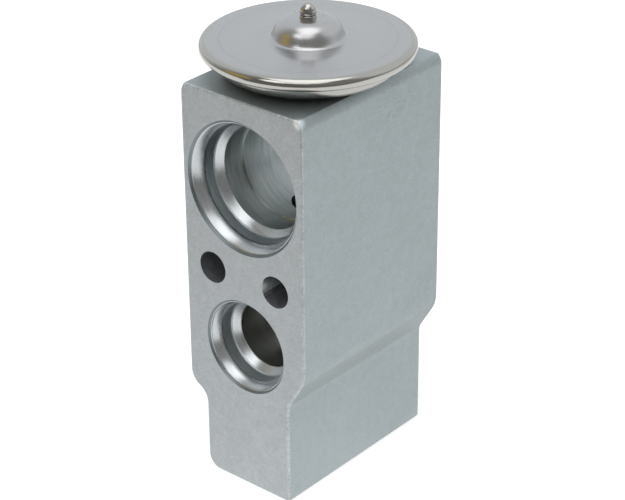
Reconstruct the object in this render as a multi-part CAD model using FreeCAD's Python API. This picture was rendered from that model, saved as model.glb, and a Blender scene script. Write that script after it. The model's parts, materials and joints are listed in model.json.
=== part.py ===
import FreeCAD
import Part
import math
import os

# Block-type refrigerant expansion valve, in millimetres.
# Origin: middle of the foot. +Z up the valve, -Y out of the port face, +X to the right of that face.

# The extruded block: its height, its upper and lower widths, and the length cut off the bar.
block_height = 70.0
block_width = 25.0
foot_width = 18.0
block_depth = 35.0
# Each side steps in by an S: its middle height, its slope from the vertical, its outer and inner round.
left_waist_z = 15.1
left_waist_slope = 62.0
left_waist_outer_round = 3.0
left_waist_inner_round = 3.0
right_waist_z = 21.3
right_waist_slope = 31.0
right_waist_outer_round = 6.0
right_waist_inner_round = 3.0
top_corner_round = 1.9
left_foot_round = 2.5
right_foot_round = 0.5
edge_break = 0.4

# The valve's upright axis lies a little nearer to the port face than the block's middle.
axis_y = -1.1

# Suction passage: the large port, the same at the front and the back.
suction_z = 55.0
suction_rim_r = 11.45
suction_mouth_r = 10.8
suction_gland_r = 9.9
suction_lead_depth = 2.5
suction_ledge_depth = 4.45
suction_bore_r = 8.75
suction_stop_depth = 10.0
suction_passage_r = 8.5

# Liquid ports: the small pair, both blind, with a drilled hole on from each.
liquid_z = 26.5
liquid_rim_r = 8.3
liquid_mouth_r = 7.75
liquid_gland_r = 6.95
liquid_lead_depth = 2.6
liquid_ledge_depth = 4.3
liquid_bore_r = 5.8
liquid_bore_depth = 10.75
inlet_hole_r = 1.8
outlet_hole_r = 1.9
lead_round = 2.0

# Two clearance holes for the bolts that clamp the pipe plates.
bolt_z = 39.0
bolt_spacing = 13.3
bolt_hole_r = 2.75

# Gaps: round a pressed or static piece, round a piece that slides or turns, between faces that meet.
seat_gap = 0.02
slide_gap = 0.05
rest_gap = 0.01

# Power head: a pressed bowl, the diaphragm on its flange, and a cover rolled round both into a bead.
head_gap = 0.6
cover_thickness = 0.65
bead_r = 17.33
fold_gap = 0.3
fold_round = 0.4
cover_crown = 0.25
flange_width = 1.0
bowl_height = 4.0
bowl_foot_round = 2.65
dome_r = 5.95
dome_height = 3.25
dome_taper = 22.0
dome_shoulder = 3.0
dome_foot_round = 0.8

# Diaphragm: thin sheet with rings pressed in it, a little dished.
diaphragm_thickness = 0.15
diaphragm_dish = 0.45
diaphragm_flat_r = 9.6
diaphragm_wave = 0.2
diaphragm_waves = 2

# Charging collar on top of the dome, and the ball that is welded into it.
collar_r = 1.36
collar_height = 0.4
collar_shank_r = 0.95
collar_shank_length = 1.6
collar_bore_r = 0.6
collar_seat_r = 1.25
charge_ball_r = 1.34

# Threaded neck of the head, its socket in the block, and the rubber ring round it.
neck_r = 8.95
neck_length = 5.3
neck_bore_r = 6.0
socket_depth = 5.3
vent_r = 5.5
head_ring_section_r = 0.84

# Thrust pad under the diaphragm, and the rod that it pushes.
pad_r = 9.2
pad_thickness = 0.95
pad_hub_r = 5.4
pad_hub_length = 6.05
pad_socket_depth = 3.4
rod_r = 1.4
rod_tip_r = 1.0
rod_tip_length = 3.4

# Rod seal in the floor of the suction passage: a rubber ring, a washer and a push-in retainer.
seal_well_r = 3.0
seal_well_z = 40.5
seal_ring_section_r = 0.74
washer_thickness = 0.5
retainer_sheet = 0.3
retainer_hole_r = 1.8
retainer_height = 1.1
retainer_slots = 6
retainer_slot_width = 0.7

# Orifice, ball and ball carrier in the chamber below.
chamber_r = 4.6
chamber_top_z = 24.5
orifice_seat_r = 4.0
orifice_seat_height = 2.5
orifice_r = 1.7
orifice_cone_r = 2.4
throat_r = 2.5
throat_height = 4.0
ball_r = 2.75
carrier_r = 3.9
carrier_plate = 1.0
carrier_floor = 0.2
carrier_cup_r = 2.75
carrier_seat_r = 2.4
carrier_pilot_r = 2.6
carrier_pilot_length = 1.6
damper_sheet = 0.25
damper_leg_width = 1.6
damper_leg_height = 2.2
damper_wall_gap = 0.1

# Superheat spring.
spring_wire_r = 0.55
spring_mean_r = 3.6
spring_turns = 4.5
spring_length = 8.3

# Adjusting screw in the foot, its sealing ring, and the seat that the spring stands on.
screw_r = 5.9
screw_recess = 0.9
screw_body_length = 4.1
screw_travel = 0.75
screw_chamfer = 0.35
nose_gap = 0.2
groove_r = 3.35
groove_width = 1.25
groove_cover = 0.5
hex_across_flats = 5.0
hex_depth = 3.0
spring_seat_r = 4.3
spring_seat_plate = 0.8
spring_seat_pilot_r = 2.7
spring_seat_pilot_length = 1.2

# The part of a run that its rounds may take, and the length below which a round is left out.
most_of_run = 0.98
slightest = 1e-4

# Places that follow from the sizes above.
front_y = -block_depth / 2
back_y = block_depth / 2
socket_r = neck_r + seat_gap
socket_z = block_height - socket_depth
bowl_z = block_height + head_gap
flange_z = bowl_z + bowl_height
upper_z = flange_z + diaphragm_thickness
bead_top_z = upper_z + cover_thickness
fold_z = flange_z - 2 * cover_thickness - rest_gap
flange_r = bead_r - cover_thickness - fold_round - seat_gap
bowl_r = flange_r - flange_width
bowl_inner_r = bowl_r - cover_thickness
fold_end_r = bowl_r + fold_gap
dome_foot_z = bead_top_z + cover_crown
dome_top_z = dome_foot_z + dome_height
pad_top_z = flange_z - diaphragm_dish - rest_gap
hub_bottom_z = pad_top_z - pad_thickness - pad_hub_length
orifice_top_z = chamber_top_z + orifice_seat_height
throat_top_z = orifice_top_z + throat_height
ball_contact = ball_r * math.sin(math.radians(45))
ball_z = chamber_top_z + orifice_cone_r - 2 * ball_contact - slide_gap * math.sqrt(2)
carrier_rim_z = ball_z + carrier_seat_r - 2 * ball_contact - rest_gap * math.sqrt(2)
carrier_plate_z = ball_z - ball_r - carrier_floor
spring_top_z = carrier_plate_z - carrier_plate - rest_gap
spring_bottom_z = spring_top_z - spring_length
spring_seat_z = spring_bottom_z - rest_gap - spring_seat_plate
nose_top_z = spring_seat_z - rest_gap
groove_top_z = nose_top_z - groove_cover
groove_bottom_z = groove_top_z - groove_width
screw_shoulder_z = screw_recess + screw_body_length
screw_bore_r = screw_r + slide_gap
screw_bore_z = screw_shoulder_z + screw_travel + 2 * slide_gap


def vec(x, y, z):
    return FreeCAD.Vector(x, y, z)


def rounded(corners):
    """A closed wire in the plane y = 0 through corners (a, b) or (a, b, round).
    A round is an arc tangent to both runs; two rounds share a run that is too short for both."""
    starts, ends, arcs = [], [], []
    count = len(corners)
    radii = [corner[2] if len(corner) > 2 else 0 for corner in corners]
    for i, corner in enumerate(corners):
        here = vec(corner[0], 0, corner[1])
        before = vec(corners[i - 1][0], 0, corners[i - 1][1]) - here
        after = vec(corners[(i + 1) % count][0], 0, corners[(i + 1) % count][1]) - here
        radius = radii[i]
        half = before.getAngle(after) / 2
        share_before = before.Length * radius / max(radius + radii[i - 1], slightest)
        share_after = after.Length * radius / max(radius + radii[(i + 1) % count], slightest)
        reach = min(radius / math.tan(half), most_of_run * share_before, most_of_run * share_after)
        if reach < slightest:
            starts.append(here)
            ends.append(here)
            arcs.append(None)
            continue
        before.normalize()
        after.normalize()
        inward = (before + after).normalize()
        radius = reach * math.tan(half)
        starts.append(here + before * reach)
        ends.append(here + after * reach)
        arcs.append(here + inward * (radius / math.sin(half) - radius))
    edges = []
    for i in range(count):
        if arcs[i] is not None:
            edges.append(Part.Arc(starts[i], arcs[i], ends[i]).toShape())
        following = starts[(i + 1) % count]
        if ends[i].distanceToPoint(following) > 1e-6:
            edges.append(Part.LineSegment(ends[i], following).toShape())
    return Part.Wire(edges)


def turned(corners):
    """A piece turned about the valve's upright axis, from its (radius, height) outline."""
    face = Part.Face(rounded(corners))
    face.translate(vec(0, axis_y, 0))
    return face.revolve(vec(0, axis_y, 0), vec(0, 0, 1), 360)


def upright(radius, low, high):
    """A round bar on the valve's upright axis."""
    return Part.makeCylinder(radius, high - low, vec(0, axis_y, low), vec(0, 0, 1))


def along_y(radius, x, z, start, end):
    """A round bar that runs from front to back."""
    return Part.makeCylinder(radius, end - start, vec(x, start, z), vec(0, 1, 0))


def ring(mid_r, section_r, z):
    """A rubber ring of round section on the valve's upright axis."""
    return Part.makeTorus(mid_r, section_r, vec(0, axis_y, z), vec(0, 0, 1))


def s_corners(side, waist_z, slope, outer_round, inner_round):
    """The two corners of one side's S, as (x, z, round), the upper and outer one first."""
    rise = (block_width - foot_width) / 4 / math.tan(math.radians(slope))
    upper = (side * block_width / 2, waist_z + rise, outer_round)
    lower = (side * foot_width / 2, waist_z - rise, inner_round)
    return upper, lower


def bar():
    """The extruded bar, cut to length, with the edges of both cut faces broken."""
    right = s_corners(1, right_waist_z, right_waist_slope, right_waist_outer_round, right_waist_inner_round)
    left = s_corners(-1, left_waist_z, left_waist_slope, left_waist_outer_round, left_waist_inner_round)
    outline = rounded([
        (-foot_width / 2, 0, left_foot_round),
        (foot_width / 2, 0, right_foot_round),
        right[1],
        right[0],
        (block_width / 2, block_height, top_corner_round),
        (-block_width / 2, block_height, top_corner_round),
        left[0],
        left[1],
    ])
    face = Part.Face(outline)
    face.translate(vec(0, front_y, 0))
    solid = face.extrude(vec(0, block_depth, 0))
    cut_edges = [e for e in solid.Edges if e.BoundBox.YLength < 1e-6]
    return solid.makeFillet(edge_break, cut_edges)


def port(z, face_y, rim_r, mouth_r, gland_r, lead_depth, ledge_depth, bore_r, bore_depth):
    """The space of one port: rim chamfer, soft lead, gland, ledge at 45 degrees, and the bore."""
    inward = 1 if face_y < 0 else -1
    mouth_depth = rim_r - mouth_r
    bore_start = ledge_depth + gland_r - bore_r
    outline = rounded([
        (0, -1),
        (rim_r, -1),
        (rim_r, 0),
        (mouth_r, mouth_depth),
        (gland_r, lead_depth, lead_round),
        (gland_r, ledge_depth),
        (bore_r, bore_start),
        (bore_r, bore_depth),
        (0, bore_depth),
    ])
    face = Part.Face(outline)
    solid = face.revolve(vec(0, 0, 0), vec(0, 0, 1), 360)
    solid.rotate(vec(0, 0, 0), vec(1, 0, 0), -90 * inward)
    solid.translate(vec(0, face_y, z))
    return solid


def ports():
    """All four ports and the two holes that lead from the liquid ports to the valve."""
    spaces = []
    for face_y in (front_y, back_y):
        spaces.append(port(
            suction_z, face_y, suction_rim_r, suction_mouth_r, suction_gland_r, suction_lead_depth,
            suction_ledge_depth, suction_bore_r, suction_stop_depth,
        ))
        spaces.append(port(
            liquid_z, face_y, liquid_rim_r, liquid_mouth_r, liquid_gland_r, liquid_lead_depth,
            liquid_ledge_depth, liquid_bore_r, liquid_bore_depth,
        ))
    spaces.append(along_y(suction_passage_r, 0, suction_z, front_y + 1, back_y - 1))
    inlet_z = chamber_top_z - inlet_hole_r - 2 * slide_gap
    outlet_z = (orifice_top_z + throat_top_z) / 2
    spaces.append(along_y(inlet_hole_r, 0, inlet_z, front_y + liquid_bore_depth - 1, axis_y))
    spaces.append(along_y(outlet_hole_r, 0, outlet_z, axis_y, back_y - liquid_bore_depth + 1))
    return spaces


def head_ring_place():
    """Middle radius, middle height and outer radius of the rubber ring under the head."""
    mid_r = neck_r + seat_gap + head_ring_section_r
    mid_z = bowl_z - seat_gap - head_ring_section_r
    return mid_r, mid_z, mid_r + head_ring_section_r + seat_gap


def upright_spaces():
    """Everything that is bored along the valve's upright axis, from the top and from the foot."""
    ring_z, recess_r = head_ring_place()[1:]
    recess_z = ring_z - head_ring_section_r - seat_gap
    cone_z = screw_bore_z + screw_bore_r - chamber_r
    mouth_r = screw_bore_r + screw_chamfer
    return [
        upright(recess_r, recess_z, block_height + 1),
        upright(socket_r, socket_z, block_height + 1),
        upright(vent_r, suction_z, socket_z + 1),
        upright(seal_well_r, seal_well_z, suction_z),
        upright(rod_r + slide_gap, throat_top_z - 1, seal_well_z + 1),
        upright(throat_r, orifice_top_z - 1, throat_top_z),
        upright(orifice_seat_r + seat_gap, chamber_top_z - 1, orifice_top_z),
        turned([
            (0, -1),
            (mouth_r, -1),
            (mouth_r, 0),
            (screw_bore_r, screw_chamfer),
            (screw_bore_r, screw_bore_z),
            (chamber_r, cone_z),
            (chamber_r, chamber_top_z),
            (0, chamber_top_z),
        ]),
    ]


def valve_block():
    solid = bar().cut(ports())
    bolt_holes = [along_y(bolt_hole_r, side * bolt_spacing / 2, bolt_z, front_y - 1, back_y + 1) for side in (-1, 1)]
    solid = solid.cut(bolt_holes)
    return solid.cut(upright_spaces()).removeSplitter()


def upper_cover():
    """Outside from the hole in the dome to the bead and its fold, then the inside back again."""
    lean = dome_height * math.tan(math.radians(dome_taper))
    inside_foot_z = dome_foot_z - cover_thickness
    bead_round = (bead_top_z - fold_z) / 2
    inside_shoulder = max(dome_shoulder - cover_thickness, 0)
    return turned([
        (collar_shank_r + seat_gap, dome_top_z),
        (dome_r - lean, dome_top_z, dome_shoulder),
        (dome_r, dome_foot_z, dome_foot_round),
        (bead_r, bead_top_z, bead_round),
        (bead_r, fold_z, bead_round),
        (fold_end_r, fold_z),
        (fold_end_r, fold_z + cover_thickness),
        (bead_r - cover_thickness, fold_z + cover_thickness, fold_round),
        (bead_r - cover_thickness, upper_z, fold_round),
        (bowl_inner_r, upper_z),
        (dome_r - cover_thickness, inside_foot_z, dome_foot_round),
        (dome_r - lean - cover_thickness, dome_top_z - cover_thickness, inside_shoulder),
        (collar_shank_r + seat_gap, dome_top_z - cover_thickness),
    ])


def lower_cover():
    """A bowl with a round foot and a flat flange, which the upper cover's fold holds."""
    return turned([
        (neck_bore_r, bowl_z),
        (bowl_r, bowl_z, bowl_foot_round),
        (bowl_r, flange_z - cover_thickness),
        (flange_r, flange_z - cover_thickness),
        (flange_r, flange_z),
        (bowl_inner_r, flange_z, diaphragm_thickness),
        (bowl_inner_r, bowl_z + cover_thickness, bowl_foot_round - cover_thickness),
        (neck_bore_r, bowl_z + cover_thickness),
    ])


def diaphragm():
    """Clamped flat at the rim, rings in between, and flat again in the middle."""
    ring_width = (bowl_inner_r - diaphragm_flat_r) / (2 * diaphragm_waves)
    low_z = flange_z - diaphragm_dish
    under = [(0, low_z), (diaphragm_flat_r, low_z)]
    for i in range(1, 2 * diaphragm_waves):
        height = low_z + diaphragm_dish * i / (2 * diaphragm_waves)
        crest = 0 if i % 2 == 0 else diaphragm_wave
        under.append((diaphragm_flat_r + i * ring_width, height + crest - diaphragm_wave / 2))
    under += [(bowl_inner_r, flange_z), (flange_r, flange_z)]
    over = [(r, z + diaphragm_thickness) for r, z in reversed(under)]
    return turned(under + over)


def charge_collar():
    """A shouldered stub through the dome's hole; the cone in its mouth seats the ball."""
    collar_top_z = dome_top_z + collar_height
    return turned([
        (collar_shank_r, dome_top_z),
        (collar_r, dome_top_z),
        (collar_r, collar_top_z, 0.1),
        (collar_seat_r, collar_top_z),
        (collar_bore_r, collar_top_z - collar_seat_r + collar_bore_r),
        (collar_bore_r, dome_top_z - collar_shank_length),
        (collar_shank_r, dome_top_z - collar_shank_length),
    ])


def charge_ball():
    contact = charge_ball_r * math.sin(math.radians(45))
    centre_z = dome_top_z + collar_height - collar_seat_r + 2 * contact + rest_gap
    return Part.makeSphere(charge_ball_r, vec(0, axis_y, centre_z))


def threaded_neck():
    """A turned tube welded under the bowl; it screws into the block's socket."""
    low_z = bowl_z - neck_length
    chamfer = 0.5
    return turned([
        (neck_bore_r, low_z),
        (neck_r - chamfer, low_z),
        (neck_r, low_z + chamfer),
        (neck_r, bowl_z),
        (neck_bore_r, bowl_z),
    ])


def head_ring():
    mid_r, mid_z = head_ring_place()[:2]
    return ring(mid_r, head_ring_section_r, mid_z)


def thrust_pad():
    """A flat plate under the diaphragm, with a hub that slides in the neck and holds the rod's end."""
    socket = rod_r + seat_gap
    edge = 0.3
    return turned([
        (0, pad_top_z),
        (pad_r, pad_top_z, edge),
        (pad_r, pad_top_z - pad_thickness),
        (pad_hub_r, pad_top_z - pad_thickness),
        (pad_hub_r, hub_bottom_z, edge),
        (socket, hub_bottom_z),
        (socket, hub_bottom_z + pad_socket_depth),
        (0, hub_bottom_z + pad_socket_depth),
    ])


def push_rod():
    """Plain wire, with a thinner tip that reaches through the orifice to the ball."""
    tip_z = ball_z + ball_r + rest_gap
    top_z = hub_bottom_z + pad_socket_depth - rest_gap
    step_z = tip_z + rod_tip_length
    edge = 0.2
    return turned([
        (0, tip_z),
        (rod_tip_r, tip_z, edge),
        (rod_tip_r, step_z),
        (rod_r, step_z + rod_r - rod_tip_r),
        (rod_r, top_z, edge),
        (0, top_z),
    ])


def seal_stack():
    """Heights in the seal well: middle of the ring, underside of the washer, underside of the retainer."""
    ring_z = seal_well_z + rest_gap + seal_ring_section_r
    washer_z = ring_z + seal_ring_section_r + rest_gap
    return ring_z, washer_z, washer_z + washer_thickness + rest_gap


def rod_seal():
    return ring(rod_r + slide_gap + seal_ring_section_r, seal_ring_section_r, seal_stack()[0])


def seal_washer():
    low_z = seal_stack()[1]
    outer = upright(seal_well_r - seat_gap, low_z, low_z + washer_thickness)
    return outer.cut(upright(rod_r + 2 * slide_gap, low_z, low_z + washer_thickness))


def seal_retainer():
    """A small pressed cup with slots round its wall, pushed into the well on top of the washer."""
    low_z = seal_stack()[2]
    outer_r = seal_well_r - seat_gap
    cup = turned([
        (retainer_hole_r, low_z),
        (outer_r, low_z, retainer_sheet),
        (outer_r, low_z + retainer_height),
        (outer_r - retainer_sheet, low_z + retainer_height),
        (outer_r - retainer_sheet, low_z + retainer_sheet),
        (retainer_hole_r, low_z + retainer_sheet),
    ])
    slots = []
    for i in range(retainer_slots):
        slot = Part.makeBox(
            seal_well_r, retainer_slot_width, retainer_height, vec(0, -retainer_slot_width / 2, 2 * retainer_sheet)
        )
        slot.rotate(vec(0, 0, 0), vec(0, 0, 1), 360 * (i + 0.5) / retainer_slots)
        slot.translate(vec(0, axis_y, low_z))
        slots.append(slot)
    return cup.cut(slots)


def orifice_seat():
    """A hardened ring pressed in above the chamber; the ball shuts on its cone."""
    cone_top_z = chamber_top_z + orifice_cone_r - orifice_r
    chamfer = 0.3
    return turned([
        (orifice_cone_r, chamber_top_z),
        (orifice_seat_r, chamber_top_z),
        (orifice_seat_r, orifice_top_z - chamfer),
        (orifice_seat_r - chamfer, orifice_top_z),
        (orifice_r, orifice_top_z),
        (orifice_r, cone_top_z),
    ])


def valve_ball():
    return Part.makeSphere(ball_r, vec(0, axis_y, ball_z))


def ball_carrier():
    """A turned cup under the ball, with a plate for the spring and a pilot inside it."""
    floor_r = carrier_seat_r - (carrier_rim_z - ball_z + ball_r + rest_gap)
    pilot_z = carrier_plate_z - carrier_plate - carrier_pilot_length
    edge = 0.3
    return turned([
        (0, pilot_z),
        (carrier_pilot_r, pilot_z, edge),
        (carrier_pilot_r, carrier_plate_z - carrier_plate),
        (carrier_r, carrier_plate_z - carrier_plate),
        (carrier_r, carrier_plate_z),
        (carrier_cup_r, carrier_plate_z),
        (carrier_cup_r, carrier_rim_z),
        (carrier_seat_r, carrier_rim_z),
        (floor_r, ball_z - ball_r - rest_gap),
        (0, ball_z - ball_r - rest_gap),
    ])


def damper_spring():
    """A flat ring round the carrier's cup, with four thin legs that bear on the chamber's wall."""
    low_z = carrier_plate_z + rest_gap
    hole_r = carrier_cup_r + seat_gap
    wall_r = chamber_r - damper_wall_gap
    top_z = low_z + damper_leg_height
    flat = upright(carrier_r, low_z, low_z + damper_sheet).cut(upright(hole_r, low_z, low_z + damper_sheet))
    cup = turned([
        (hole_r, low_z),
        (wall_r, low_z, damper_sheet),
        (wall_r, top_z),
        (wall_r - damper_sheet, top_z),
        (wall_r - damper_sheet, low_z + damper_sheet),
        (hole_r, low_z + damper_sheet),
    ])
    bars = []
    for turn in (45, 135):
        legs = Part.makeBox(2 * wall_r, damper_leg_width, damper_leg_height, vec(-wall_r, -damper_leg_width / 2, 0))
        legs.rotate(vec(0, 0, 0), vec(0, 0, 1), turn)
        legs.translate(vec(0, axis_y, low_z))
        bars.append(legs)
    return flat.fuse(cup.common(bars[0].fuse(bars[1]))).removeSplitter()


def superheat_spring():
    """Round wire on a helix, with both ends ground flat."""
    pitch = spring_length / spring_turns
    helix = Part.makeHelix(pitch, spring_length, spring_mean_r)
    start = Part.Wire(Part.makeCircle(spring_wire_r, vec(spring_mean_r, 0, 0), vec(0, 1, 0)))
    coil = Part.Wire(helix).makePipeShell([start], True, True)
    slab = Part.makeBox(4 * spring_mean_r, 4 * spring_mean_r, spring_length, vec(-2 * spring_mean_r, -2 * spring_mean_r, 0))
    coil = coil.common(slab)
    coil.translate(vec(0, axis_y, spring_bottom_z))
    return coil


def spring_seat():
    """A plate on the screw's nose, with a pilot inside the spring."""
    top_z = spring_seat_z + spring_seat_plate
    edge = 0.3
    return turned([
        (0, spring_seat_z),
        (spring_seat_r, spring_seat_z),
        (spring_seat_r, top_z),
        (spring_seat_pilot_r, top_z),
        (spring_seat_pilot_r, top_z + spring_seat_pilot_length, edge),
        (0, top_z + spring_seat_pilot_length),
    ])


def adjusting_screw():
    """A plug with a hexagon socket in its foot and a sealing groove round its nose."""
    nose_r = chamber_r - nose_gap
    body = turned([
        (0, screw_recess),
        (screw_r - screw_chamfer, screw_recess),
        (screw_r, screw_recess + screw_chamfer),
        (screw_r, screw_shoulder_z - screw_chamfer),
        (screw_r - screw_chamfer, screw_shoulder_z),
        (nose_r, screw_shoulder_z),
        (nose_r, groove_bottom_z),
        (groove_r, groove_bottom_z),
        (groove_r, groove_top_z),
        (nose_r, groove_top_z),
        (nose_r, nose_top_z),
        (0, nose_top_z),
    ])
    corner_r = hex_across_flats / 2 / math.cos(math.radians(30))
    hexagon = [
        vec(corner_r * math.cos(math.radians(60 * i)), axis_y + corner_r * math.sin(math.radians(60 * i)), screw_recess)
        for i in range(6)
    ]
    socket = Part.Face(Part.makePolygon(hexagon + hexagon[:1])).extrude(vec(0, 0, hex_depth))
    point_z = screw_recess + hex_depth
    drill_point = turned([(0, point_z - 0.5), (2.2, point_z - 0.5), (2.2, point_z), (0, point_z + 0.8)])
    return body.cut([socket, drill_point])


def screw_ring():
    """Sits in the screw's groove and seals on the chamber's wall."""
    inner_r = groove_r + slide_gap
    outer_r = chamber_r - slide_gap
    return ring((inner_r + outer_r) / 2, (outer_r - inner_r) / 2, (groove_bottom_z + groove_top_z) / 2)


pieces = [
    valve_block,
    upper_cover,
    lower_cover,
    diaphragm,
    charge_collar,
    charge_ball,
    threaded_neck,
    head_ring,
    thrust_pad,
    push_rod,
    rod_seal,
    seal_washer,
    seal_retainer,
    orifice_seat,
    valve_ball,
    ball_carrier,
    damper_spring,
    superheat_spring,
    spring_seat,
    adjusting_screw,
    screw_ring,
]

os.makedirs("parts", exist_ok=True)
for piece in pieces:
    shape = piece()
    name = piece.__name__
    solids = len(shape.Solids)
    print(f"{name}: {solids} solid, valid {shape.isValid()}, {shape.Volume:.2f} mm3")
    shape.exportStep(f"parts/{name}.step")
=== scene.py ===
import json
import math

import bmesh
import bpy
import numpy as np
from mathutils import Matrix, Vector


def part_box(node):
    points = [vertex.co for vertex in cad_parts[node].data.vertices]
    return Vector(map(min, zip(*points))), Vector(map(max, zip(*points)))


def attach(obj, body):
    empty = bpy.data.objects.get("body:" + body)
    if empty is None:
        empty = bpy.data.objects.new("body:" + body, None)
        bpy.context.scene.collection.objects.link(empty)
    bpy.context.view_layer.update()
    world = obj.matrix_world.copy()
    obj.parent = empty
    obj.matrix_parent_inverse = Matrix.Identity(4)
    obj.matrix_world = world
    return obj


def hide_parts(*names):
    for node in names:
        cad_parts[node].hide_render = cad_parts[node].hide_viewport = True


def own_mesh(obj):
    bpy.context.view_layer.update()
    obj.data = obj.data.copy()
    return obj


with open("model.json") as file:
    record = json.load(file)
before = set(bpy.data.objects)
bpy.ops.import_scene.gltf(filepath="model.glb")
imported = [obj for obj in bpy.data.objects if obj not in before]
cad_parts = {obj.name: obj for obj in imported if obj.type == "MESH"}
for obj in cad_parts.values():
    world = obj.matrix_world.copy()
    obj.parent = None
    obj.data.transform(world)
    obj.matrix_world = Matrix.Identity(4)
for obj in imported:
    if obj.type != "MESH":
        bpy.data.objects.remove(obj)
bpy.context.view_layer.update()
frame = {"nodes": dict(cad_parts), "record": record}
scene = bpy.context.scene
MM = 0.001

# The valve block: a length of extruded aluminium bar, sawn off and milled on top, blasted with
# fine grit, then drilled and turned. The ports are cut last, so they stay bright, and the head, the
# orifice seat and the adjuster screw or press into its upright bores.


def linear(code):
    """An sRGB hex colour as the linear colour that a shader takes."""
    value = np.array([int(code[i:i + 2], 16) for i in (1, 3, 5)]) / 255
    value = np.where(value <= 0.04045, value / 12.92, ((value + 0.055) / 1.055) ** 2.4)
    return (*value.tolist(), 1.0)


def add(tree, kind, settings=None, links=None):
    """Adds one node. Settings go to its properties or its sockets, and links join the outputs of
    other nodes to its sockets."""
    made = tree.nodes.new(kind)
    for key, value in (settings or {}).items():
        if hasattr(made, str(key)):
            setattr(made, key, value)
        else:
            made.inputs[key].default_value = value
    for key, output in (links or {}).items():
        tree.links.new(output, made.inputs[key])
    return made


def finish(name, colour, roughness, metallic=1.0):
    """A material with its tree, its shader, and its object coordinates ready for patterns."""
    material = bpy.data.materials.new(name)
    material.use_nodes = True
    tree = material.node_tree
    shader = tree.nodes["Principled BSDF"]
    shader.inputs["Base Color"].default_value = linear(colour)
    shader.inputs["Metallic"].default_value = metallic
    shader.inputs["Roughness"].default_value = roughness
    return material, tree, shader, add(tree, "ShaderNodeTexCoord").outputs["Object"]


# A noise texture keeps between these two values almost everywhere.
noise_low, noise_high = 0.3, 0.7


def bar_marks(tree, place):
    """What only the extruded sides show, as factors of their shade: streaks 0.9 mm wide along the
    bar, the line that a nick in the die left near the top, with painted light below it and painted
    shade above, and a scuffed patch over it. Where the y of a place is multiplied by a share, a
    pattern is drawn out by it."""
    drawn_out = add(tree, "ShaderNodeMapping", {"Scale": (1, 0.01, 1)}, {"Vector": place})
    lines = add(tree, "ShaderNodeTexNoise", {
        "Scale": 1 / (0.9 * MM), "Detail": 2.0,
    }, {"Vector": drawn_out.outputs[0]})
    streak = add(tree, "ShaderNodeMapRange", {
        1: noise_low, 2: noise_high, 3: 0.993, 4: 1.007,
    }, {"Value": lines.outputs["Fac"]})

    die_line, share = (12.5, -1.1, 65.22), 0.02
    # The die line's painted light and shade: 1.07 of the tone just below it, 0.94 just above.
    height = add(tree, "ShaderNodeSeparateXYZ", {}, {"Vector": place}).outputs["Z"]
    painted_light_then_shade = add(tree, "ShaderNodeMapRange", {
        1: 65.15 * MM, 2: 65.3 * MM, 3: 1.07, 4: 0.94,
    }, {"Value": height})
    squeezed = add(tree, "ShaderNodeMapping", {"Scale": (1, share, 1)}, {"Vector": place})
    off_line = add(tree, "ShaderNodeVectorMath", {
        "operation": "DISTANCE", 1: (die_line[0] * MM, die_line[1] * share * MM, die_line[2] * MM),
    }, {0: squeezed.outputs[0]})
    on_line = add(tree, "ShaderNodeMapRange", {
        1: 0.15 * MM, 2: 0.25 * MM, 3: 1.0, 4: 0.0,
    }, {"Value": off_line.outputs["Value"]})
    line = add(tree, "ShaderNodeMix", {"data_type": "FLOAT", 2: 1.0}, {
        0: on_line.outputs[0], 3: painted_light_then_shade.outputs[0],
    })

    scuffed_at, pit_size, deepest = (12.5 * MM, 5 * MM, 66.3 * MM), 0.5 * MM, 0.2
    longer = add(tree, "ShaderNodeMapping", {"Scale": (1, 0.35, 1)}, {"Vector": place})
    pits = add(tree, "ShaderNodeTexNoise", {
        "Scale": 1 / pit_size, "Detail": 2.0,
    }, {"Vector": longer.outputs[0]})
    pitted = add(tree, "ShaderNodeMapRange", {1: 0.6, 2: 0.68}, {"Value": pits.outputs["Fac"]})
    away = add(tree, "ShaderNodeVectorMath", {"operation": "DISTANCE", 1: scuffed_at}, {0: place})
    within = add(tree, "ShaderNodeMapRange", {
        1: 3 * MM, 2: 6 * MM, 3: deepest, 4: 0.0,
    }, {"Value": away.outputs["Value"]})
    scuff = add(tree, "ShaderNodeMath", {"operation": "MULTIPLY"}, {
        0: within.outputs[0], 1: pitted.outputs[0],
    })
    kept = add(tree, "ShaderNodeMath", {"operation": "SUBTRACT", 0: 1.0}, {1: scuff.outputs[0]})
    return [streak.outputs[0], line.outputs[0], kept.outputs[0]]


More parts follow.
